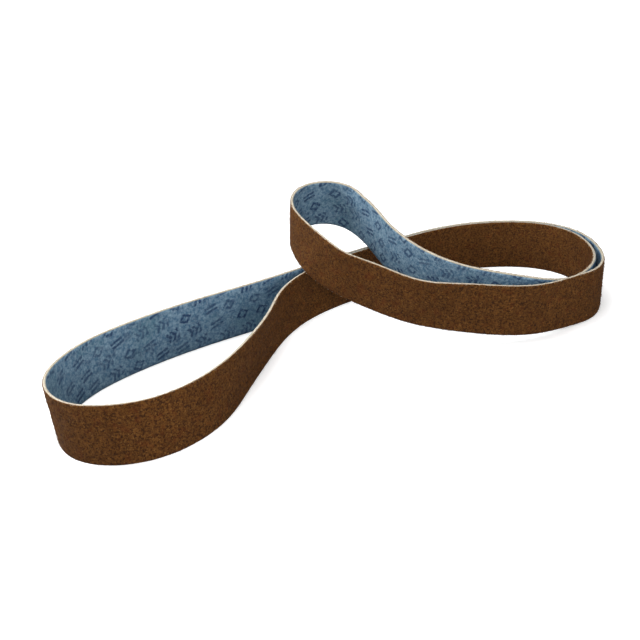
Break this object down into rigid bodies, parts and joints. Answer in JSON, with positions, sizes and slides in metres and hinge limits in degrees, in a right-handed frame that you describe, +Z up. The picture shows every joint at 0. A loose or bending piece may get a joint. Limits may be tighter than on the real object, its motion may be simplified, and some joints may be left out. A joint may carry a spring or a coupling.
{
  "type": "sanding belt",
  "caption": "Endless surface-conditioning belt of brown abrasive web on a blue cloth backing, standing on its edge in loose folds, to run over a grinder's wheels.",
  "frame": {"origin": "middle of the belt's footprint, on the surface it stands on", "axes": "+Z up, across the belt's width where it stands upright; +X along the longest side, from the long single loop to the round double one; +Y away from the side the picture is taken from"},
  "size_m": [0.5008, 0.3506, 0.1198],
  "materials": {
    "abrasive_web": "rough brown fibre web, cream on the cut edges",
    "cloth_backing": "matt blue woven cloth with a darker printed pattern"
  },
  "bodies": {
    "root": {"abrasive_web": "abrasive_web", "cloth_backing": "cloth_backing"}
  },
  "joints": []
}
